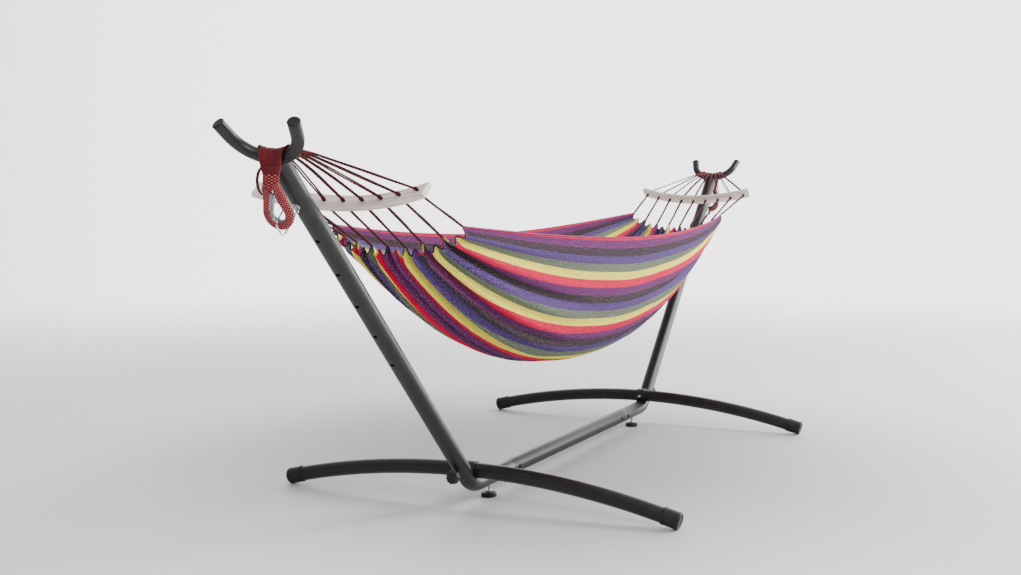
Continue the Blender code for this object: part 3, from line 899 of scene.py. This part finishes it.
def build_band(tag, s):
    """Doubled strands laid over the saddle, swelling as they are drawn together."""
    shell = Shell()
    for index in range(CORD_COUNT):
        for hand in (1, -1):
            path = saddle_route(s, (index - 4) / 4.0, hand)
            last = len(path) - 1
            radii = []
            for i in range(last + 1):
                t = min(1.0, 2.0 * i / last)
                radii.append(STRAND_R + 0.0003 * t * t * (3.0 - 2.0 * t))
                path[i] += face_out(s) * (0.0005 * sin(2.3 * index) * sin(pi * i / last))
            shell.tube(path, radii, 10)
    item = shell.make(f"band_strands_{tag}", BINDING)
    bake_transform(item)
    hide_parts(f"rope_band_{tag}")


def build_wraps(tag, s):
    """Slack turns of the cords lying side by side on the inner face of the fork."""
    shell = Shell()
    for i in range(18):
        path = []
        for step in range(15):
            t = step / 14.0
            around = radians(66.0 + 105.0 * t)
            turn = 0.56 * (2.0 * i / 17.0 - 1.0) + 0.05 * sin(2.4 * i) * (t - 0.5)
            reach = FORK_R + 0.0023 + 0.001 * sin(1.9 * i) * sin(pi * t)
            arm = FORK_BEND - reach * cos(around)
            up = FORK_BEND - arm * cos(turn)
            path.append(head(s, -reach * sin(around), up, arm * sin(turn)))
        shell.tube(path, 0.0024, 10)
    place(shell.make(f"saddle_turns_{tag}", BINDING), "stand", "rope")


def build_binding(tag, s):
    """Turns of cord bound round the strands, and the knitted neck below them."""
    shell = Shell()
    for i in range(6):
        path = []
        for turn in arc(0.0, tau, 40)[:-1]:
            c, d = cos(turn), sin(turn)
            reach = 1.0 / (abs(c) ** 3.0 + abs(d) ** 3.0) ** (1.0 / 3.0)
            wide = (0.0225 - 0.0011 * i) * reach * c
            lift = -0.0025 * i + 0.0005 * d
            path.append(Vector((s * NECK_X + 0.0062 * reach * d, wide, 0.8195 + lift)))
        shell.tube(path, 0.0014, 10, up=(0, 0, 1), closed=True)
    place(shell.make(f"binding_{tag}", BINDING), "stand", "rope")
    neck = Shell()
    path = smooth_path([flat(s, NECK_X, z) for z in (0.812, 0.806, 0.799, 0.792, 0.785, 0.779)], 5)
    last = len(path) - 1

    def section(turn, run, i):
        t = i / last
        wide = 0.0188 + (0.0158 - 0.0188) * t
        rib = 1.0 + 0.05 * sin(22.0 * turn) * sin(tau * run / 0.0042)
        return wide * rib, (0.0062 + 0.0022 * t) * rib

    neck.tube(path, 1.0, 88, shape=section)
    place(neck.make(f"neck_{tag}", ROPE), "stand", "rope")


EYE_TOP = Vector((NECK_X, 0.0, NECK_Z - 0.001))
EYE_DROP = head(1, EYE_BOTTOM_N, EYE_BOTTOM_T) - EYE_TOP


def eye_point(s, down, y):
    """A point in the leaning plane of the eye, `down` below its top."""
    spot = EYE_TOP + EYE_DROP.normalized() * down
    return flat(s, spot.x, spot.z, y)


def teardrop(s, half, close, top_half, top_down):
    centre = EYE_DROP.length - half - close
    legs = atan2(half - top_half, centre - top_down)
    shares = (0.0, 0.33, 0.66)
    leg = [(top_down + (centre - top_down) * t, top_half + (half - top_half) * t) for t in shares]
    points = [eye_point(s, down, y) for down, y in leg]
    for turn in arc(-legs, pi + legs, 12):
        y = half * cos(turn)
        points.append(eye_point(s, centre + half * sin(turn), y))
    points += [eye_point(s, down, -y) for down, y in reversed(leg)]
    return smooth_path(points, 6)


def build_eye(tag, s):
    shell = Shell()
    path = teardrop(s, EYE_HALF, 0.0, 0.0082, -0.004)

    def section(turn, run, i):
        weave = sin(12.0 * turn + tau * run / 0.0068)
        weave *= sin(12.0 * turn - tau * run / 0.0068)
        rib = 1.0 + 0.035 * weave
        return rib, rib

    shell.tube(path, ROPE_R, 60, shape=section)
    place(shell.make(f"eye_{tag}", ROPE), "stand", "rope", f"rope_eye_{tag}")
    lining = Shell()
    inside = teardrop(s, EYE_HALF - ROPE_R - 0.0002, ROPE_R + 0.0002, 0.0012, 0.016)
    rows = []
    for centre, side, rise in path_frames(inside, Vector((s, 0.0, 0.3))):
        rows.append([centre + side * (0.0062 * t) + rise * (0.0016 * t * t) for t in arc(-1.0, 1.0, 8)])
    lining.grid(rows, distances(inside), wrap_cols=False)
    item = add_mesh(f"lining_{tag}", lining.verts, lining.faces, GALVANISED, lining.uvs)
    thicken(item, 0.0011)
    place(item, "stand", "galvanised", f"thimble_{tag}")


def build_tail(tag, s):
    """The slack loop of the binding cord beside the neck."""
    shell = Shell()
    route = (
        (0.002, 0.818, 0.02, 0.0),
        (0.003, 0.812, 0.0235, 1.0),
        (0.004, 0.8, 0.0268, 1.0),
        (0.005, 0.788, 0.0262, 1.0),
        (0.006, 0.776, 0.0225, 0.6),
        (0.006, 0.768, 0.0165, 0.0),
    )
    for gap in (0.0, 0.0024):
        points = [flat(s, NECK_X + out, z, y + share * gap) for out, z, y, share in route]
        shell.tube(smooth_path(points, 6), STRAND_R, 8)
    place(shell.make(f"binding_tail_{tag}", CORD), "stand", "rope")


# ---- link, gate and eye bolt ---------------------------------------------


def build_link(tag, s):
    corners = [
        head(s, GATE_TO + 0.0032, LINK_TOP),
        head(s, LINK_FAR, LINK_TOP),
        head(s, LINK_FAR, LINK_LOW),
        head(s, LINK_NEAR, LINK_LOW),
        head(s, LINK_NEAR, LINK_TOP),
        head(s, GATE_FROM - 0.0008, LINK_TOP),
    ]
    shell = Shell()
    shell.tube(rounded_path(corners, 0.0088, 10), LINK_R, 20)
    lip = [(0.0026, -0.002), (0.0032, -0.0015), (0.0032, 0.0018), (0.0026, 0.0022)]
    spot = head(s, GATE_FROM - 0.003, LINK_TOP)
    shell.turned(lip, spot, corners[0] - corners[-1], 20, soft=0.0004)
    place(shell.make(f"link_{tag}", CHROME, 60.0), "stand", "chrome", f"snap_link_{tag}")
    gate = Shell()
    pivot = head(s, GATE_TO, LINK_TOP)
    start = head(s, GATE_FROM + 0.0005, LINK_TOP)
    path = [pivot.lerp(start, t) for t in arc(0.0, 1.0, 6)]
    gate.tube(path, 0.0021, 20)
    pin = [(0.0002, -0.0034), (0.0013, -0.0034), (0.0013, 0.0034), (0.0002, 0.0034)]
    gate.turned(pin, pivot, (0, 1, 0), 16, soft=0.0003)
    place(gate.make(f"gate_{tag}", CHROME, 60.0), f"gate_{tag}", "chrome", f"snap_gate_{tag}")


def build_eye_bolt(tag, s):
    t = -HOLE_FIRST
    centre = TUBE_R + 0.0045 + RING_R
    points = [head(s, 0.012, t), head(s, 0.018, t), head(s, centre - RING_R - 0.0018, t)]
    for turn in arc(196.0, 524.0, 36):
        angle = radians(turn)
        points.append(head(s, centre + RING_R * cos(angle), t, RING_R * sin(angle)))
    shell = Shell()
    shell.tube(points, 0.002, 16, up=up_along(s))
    washer = [(0.0021, 0.0), (0.008, 0.0), (0.008, 0.0012), (0.0021, 0.0012)]
    shell.turned(washer, head(s, TUBE_R + 0.0001, t), face_out(s), 28, soft=0.0003)
    nut = [(0.002, 0.0), (0.0052, 0.0), (0.0056, 0.0004), (0.0056, 0.0022)]
    nut += [(0.005, 0.0027), (0.002, 0.0027)]
    shell.turned(nut, head(s, TUBE_R + 0.0013, t), face_out(s), 6, soft=0.0002)
    place(shell.make(f"bolt_{tag}", CHROME, 35.0), "stand", "chrome", f"eye_bolt_{tag}")


# ---- stand ---------------------------------------------------------------


def fork_path(s, steps):
    path = []
    for turn in arc(-FORK_TURN, FORK_TURN, steps):
        y = FORK_BEND * sin(turn)
        path.append(head(s, 0.0, FORK_BEND * (1.0 - cos(turn)), y))
    y = FORK_BEND * sin(FORK_TURN) + FORK_ARM * cos(FORK_TURN)
    t = FORK_BEND * (1.0 - cos(FORK_TURN)) + FORK_ARM * sin(FORK_TURN)
    return [head(s, 0.0, t, -y)] + path + [head(s, 0.0, t, y)]


def build_upright(tag, s):
    corner = flat(s, CORNER_X, BASE_Z)
    path = rounded_path([flat(s, BASE_HALF + 0.0004, BASE_Z), corner, head(s, 0.0, -0.005)], BEND_R, 18)
    start, stop = path[-2], path[-1]
    stations = [0.0, -0.012, -0.03]
    for i in range(HOLE_COUNT):
        middle = -HOLE_FIRST - HOLE_PITCH * i
        stations += [middle + 0.009, middle - 0.009]
    extra = [head(s, 0.0, t) for t in sorted(stations[1:])]
    extra = [p for p in extra if (p - start).dot(up_along(s)) > 0.004]
    path = path[:-1] + extra + [stop]
    shell = Shell()
    shell.tube(path, TUBE_R, 64)
    item = shell.make(f"leg_{tag}", STEEL, STEEL_EDGE)
    drill = Shell()
    for i in range(HOLE_COUNT):
        t = -HOLE_FIRST - HOLE_PITCH * i
        drill.tube([head(s, 0.006, t), head(s, 0.03, t)], HOLE_R, 24, None)
    carve(item, drill, 0.0005)
    place(item, "stand", "tube", f"upright_{tag}")
    weld = Shell()
    beads = []
    for i in range(160):
        turn = tau * i / 160
        n, y = (TUBE_R - 0.0015) * cos(turn), (TUBE_R - 0.0015) * sin(turn)
        fork_t = FORK_BEND - sqrt(FORK_BEND**2 - y * y)
        if abs(n) < FORK_R:
            t = fork_t - sqrt(FORK_R**2 - n * n)
        else:
            t = fork_t
        t = max(min(t, -0.005), -0.016)
        beads.append(head(s, n, t, y))
    for _ in range(5):
        beads = [(beads[i - 1] + 2 * beads[i] + beads[(i + 1) % 160]) / 4 for i in range(160)]
    radii = [0.0021 * (1.0 + 0.16 * sin(tau * i / 4.0)) for i in range(160)]
    weld.tube(beads, radii, 10, closed=True, up=up_along(s))
    place(weld.make(f"weld_{tag}", STEEL), "stand", "tube")


def build_fork(tag, s):
    path = fork_path(s, 40)
    shell = Shell()
    shell.tube(path, FORK_R, 48, up=face_out(s))
    place(shell.make(f"fork_bar_{tag}", STEEL, STEEL_EDGE), "stand", "tube", f"fork_{tag}")
    for side, tip, before in (("r", path[0], path[1]), ("l", path[-1], path[-2])):
        cap = Shell()
        wide = FORK_R + 0.0004
        outline = [(FORK_R - 0.0022, -0.01), (FORK_R - 0.0022, 0.0003), (wide, 0.0003)]
        outline += [(wide, 0.0028), (FORK_R - 0.0016, 0.0046), (FORK_R - 0.0042, 0.0044), (0.0004, 0.004)]
        cap.turned(outline, tip, tip - before, 48, soft=0.0009)
        item = cap.make(f"fork_end_{tag}_{side}", BLACK, PLASTIC_EDGE)
        place(item, "stand", "plastic", f"fork_cap_{tag}_{side}")


def build_base():
    shell = Shell()
    stations = [-BASE_HALF, -0.2, 0.0, 0.2, BASE_HALF]
    path = [Vector((x, 0.0, BASE_Z)) for x in stations]
    shell.tube(path, TUBE_R, 64)
    for s in (-1, 1):
        lip = [(TUBE_R - 0.0006, -0.0016), (TUBE_R + 0.0003, -0.001)]
        lip += [(TUBE_R + 0.0003, 0.0004), (TUBE_R - 0.0006, 0.0009)]
        shell.turned(lip, Vector((s * BASE_HALF, 0.0, BASE_Z)), (s, 0, 0), 64, soft=0.0003)
        for step in (-0.026, 0.03):
            button = [(0.006, -0.002), (0.006, 0.0008), (0.0046, 0.0024), (0.0002, 0.003)]
            spot = Vector((s * (BASE_HALF + step), -TUBE_R, BASE_Z))
            shell.turned(button, spot, (0, -1, 0), 24, soft=0.0008)
    place(shell.make("base_bar", BASE_STEEL_SHADED, STEEL_EDGE), "stand", "tube", "base_tube")


def foot_point(s, turn):
    y = FOOT_ARC * sin(turn)
    return flat(s, FOOT_X, FOOT_MID_Z - FOOT_ARC * (1.0 - cos(turn)), y)


def build_foot(tag, s):
    for side, sign in SIDES:
        first = sign * asin(0.006 / FOOT_ARC)
        path = [foot_point(s, turn) for turn in arc(first, sign * FOOT_TURN, 28)]
        shell = Shell()
        shell.tube(path, FOOT_R, 56, up=(1, 0, 0))
        item = shell.make(f"foot_{tag}_{side}", FOOT_STEEL, STEEL_EDGE)
        place(item, "stand", "foot", f"foot_tube_{tag}_{side}")
        cap = Shell()
        end = path[-1]
        wide = FOOT_CAP_R
        outline = [(FOOT_R - 0.0002, 0.005), (wide - 0.0012, 0.005), (wide, 0.008), (wide, 0.013)]
        outline = [(r, h - FOOT_CAP_LEN) for r, h in [*outline, (wide - 0.0006, 0.014)]]
        outline += [(wide - 0.0006, -0.004), (wide, -0.003), (wide, 0.002), (wide - 0.0026, 0.0052)]
        outline += [(wide - 0.006, 0.0054), (wide - 0.0066, 0.0042), (0.0004, 0.004)]
        cap.turned(outline, end, path[-1] - path[-2], 56, soft=0.0012)
        for i, spot in enumerate(cap.verts):
            cap.verts[i] = Vector((spot.x, spot.y, max(spot.z, 0.0002)))
        item = cap.make(f"foot_end_{tag}_{side}", BLACK, PLASTIC_EDGE)
        place(item, "stand", "plastic", f"foot_cap_{tag}_{side}")
    collar = Shell()
    inner = FOOT_R - 0.0004
    outline = [(inner, -COLLAR_HALF), (COLLAR_R, -COLLAR_HALF), (COLLAR_R, COLLAR_HALF), (inner, COLLAR_HALF)]
    collar.turned(outline, flat(s, FOOT_X, FOOT_MID_Z), (0, 1, 0), 56, soft=0.0014)
    place(collar.make(f"collar_{tag}", STEEL, STEEL_EDGE), "stand", "tube", f"foot_collar_{tag}")


def thread(shell, foot, axis, first, count, core, crest):
    """Ridges of a screw, one every 1.25 mm."""
    for i in range(count):
        at = first + 0.00125 * i
        ridge = [(core, at), (crest, at + 0.0005), (crest, at + 0.0007), (core, at + 0.0012)]
        shell.turned(ridge, foot, axis, 28)


def build_knob(tag, s):
    hub = flat(s, KNOB_X, FOOT_MID_Z)
    body = f"knob_{tag}"
    knob = Shell()
    profile = rounded_profile([(0.0044, 0.0), (0.0072, 0.0), (0.0072, 0.0088)], 0.0006)
    lobed = [(0.0142, 0.0092, 0.6), (0.0158, 0.0098, 0.9), (0.0168, 0.0118, 1.0), (0.0168, 0.018, 1.0)]
    lobed += [(0.0168, 0.0242, 1.0), (0.016, 0.0262, 0.9), (0.0142, 0.0272, 0.5)]
    face = [(0.0104, 0.0274), (0.0098, 0.0266), (0.0004, 0.0264)]
    knob.turned(profile + lobed + face, hub, (s, 0, 0), 120, 10, 0.0022)
    place(knob.make(f"hand_knob_{tag}", BLACK, PLASTIC_EDGE), body, "plastic", f"knob_{tag}")
    bolt = Shell()
    shank = [(0.0028, -0.1095), (0.004, -0.1085), (0.004, 0.0135), (0.0036, 0.014)]
    bolt.turned(shank, hub, (s, 0, 0), 28)
    thread(bolt, hub, (s, 0, 0), -0.107, 26, 0.0036, 0.0042)
    place(bolt.make(f"knob_screw_{tag}", CHROME, 40.0), body, "chrome", f"knob_bolt_{tag}")


def build_leveller(tag, s):
    foot = flat(s, PAD_X, 0.0)
    body = f"leveller_{tag}"
    pad = Shell()
    outline = [(0.0004, 0.0), (PAD_R - 0.0015, 0.0), (PAD_R, 0.0015), (PAD_R, 0.0085)]
    outline += [(PAD_R - 0.003, 0.0115), (0.0085, PAD_H), (0.0042, PAD_H)]
    profile = []
    for r, h in rounded_profile(outline, 0.0008):
        profile.append((r, h, 1.0 if 0.0015 < h < 0.0088 and r > 0.015 else 0.0))
    pad.turned(profile, foot, (0, 0, 1), 144, 24, 0.0007)
    place(pad.make(f"floor_pad_{tag}", BLACK, PLASTIC_EDGE), body, "plastic", f"level_pad_{tag}")
    stud = Shell()
    shank = [(0.0036, 0.0064), (0.0038, 0.007), (0.0038, 0.0432), (0.0034, 0.044)]
    stud.turned(shank, foot, (0, 0, 1), 28)
    nut = [(0.0038, 0.0136), (0.0074, 0.0136), (0.0074, 0.0176), (0.0038, 0.0176)]
    stud.turned(nut, foot, (0, 0, 1), 6, soft=0.0006)
    thread(stud, foot, (0, 0, 1), 0.0185, 16, 0.0036, 0.0041)
    place(stud.make(f"floor_stud_{tag}", CHROME, 40.0), body, "chrome", f"level_stud_{tag}")


# ---- studio --------------------------------------------------------------


def build_studio():
    edge = 60.0
    corners = [(-edge, -edge, 0.0), (edge, -edge, 0.0), (edge, edge, 0.0), (-edge, edge, 0.0)]
    floor = add_mesh("floor", corners, [(0, 1, 2, 3)], floor_with_painted_shadow())
    g = Graph(bpy.data.worlds.new("studio"), "Background", Color=(1.0, 1.0, 1.0, 1.0))
    x, _, z = g.split("Generated")
    ahead = g.range(x, 0.34, 3.4, 0.35, 0.85, "SMOOTHSTEP")
    above = g.range(z, 0.0, 0.5, 0.1, 0.9, "SMOOTHSTEP")
    g.put(g.shader.inputs["Strength"], g.plus(ahead, above))
    bpy.context.scene.world = g.owner
    add_light("key", (2.2, -3.5, 3.0), (0.2, 0.0, 0.5), 1.8, 205.0)
    add_light("side", (3.5, -2.9, 0.9), (-0.9, 0.0, 0.5), 1.0, 100.0)
    add_light("front", (-3.4, -2.3, 2.7), (-1.3, 0.0, 0.8), 1.2, 75.0)


def add_light(name, spot, aim, size, power):
    lamp = bpy.data.lights.new(name, "AREA")
    lamp.shape = "DISK"
    lamp.size = size
    lamp.energy = power
    item = add_object(name, lamp)
    item.location = spot
    item.rotation_mode = "QUATERNION"
    item.rotation_quaternion = (Vector(aim) - Vector(spot)).to_track_quat("-Z", "Y")


def floor_with_painted_shadow():
    """Pale floor with a painted shadow, darker near the object, that fades into the studio's light away from
    it.
    """
    g = paint("floor_painted_shadow", 0.6)
    x, y, _ = g.split("Object")
    squares = g.plus(g.times(x, x), g.times(y, y))
    far = g.math("DIVIDE", g.math("SQRT", squares), 7.0)
    soft = g.times(g.noise(0.8, 2.0), 0.03)
    # Painted shadow: the colour runs from 0.36 near the object to 0.82 away from it, its edge softened by
    # noise.
    g.colour(g.ramp(g.plus(far, soft), [(0.04, 0.36), (0.25, 0.82)], "EASE"))
    g.put(g.shader.inputs["Alpha"], g.ramp(far, [(0.25, 1.0), (0.95, 0.0)], "EASE"))
    return g.owner


build_camera()
build_cords()
build_knots()
build_bars()
build_bed()
for end in ENDS:
    for build in (
        build_band,
        build_wraps,
        build_binding,
        build_eye,
        build_tail,
        build_link,
        build_eye_bolt,
        build_upright,
        build_fork,
        build_foot,
        build_knob,
        build_leveller,
    ):
        build(*end)
build_base()
build_studio()
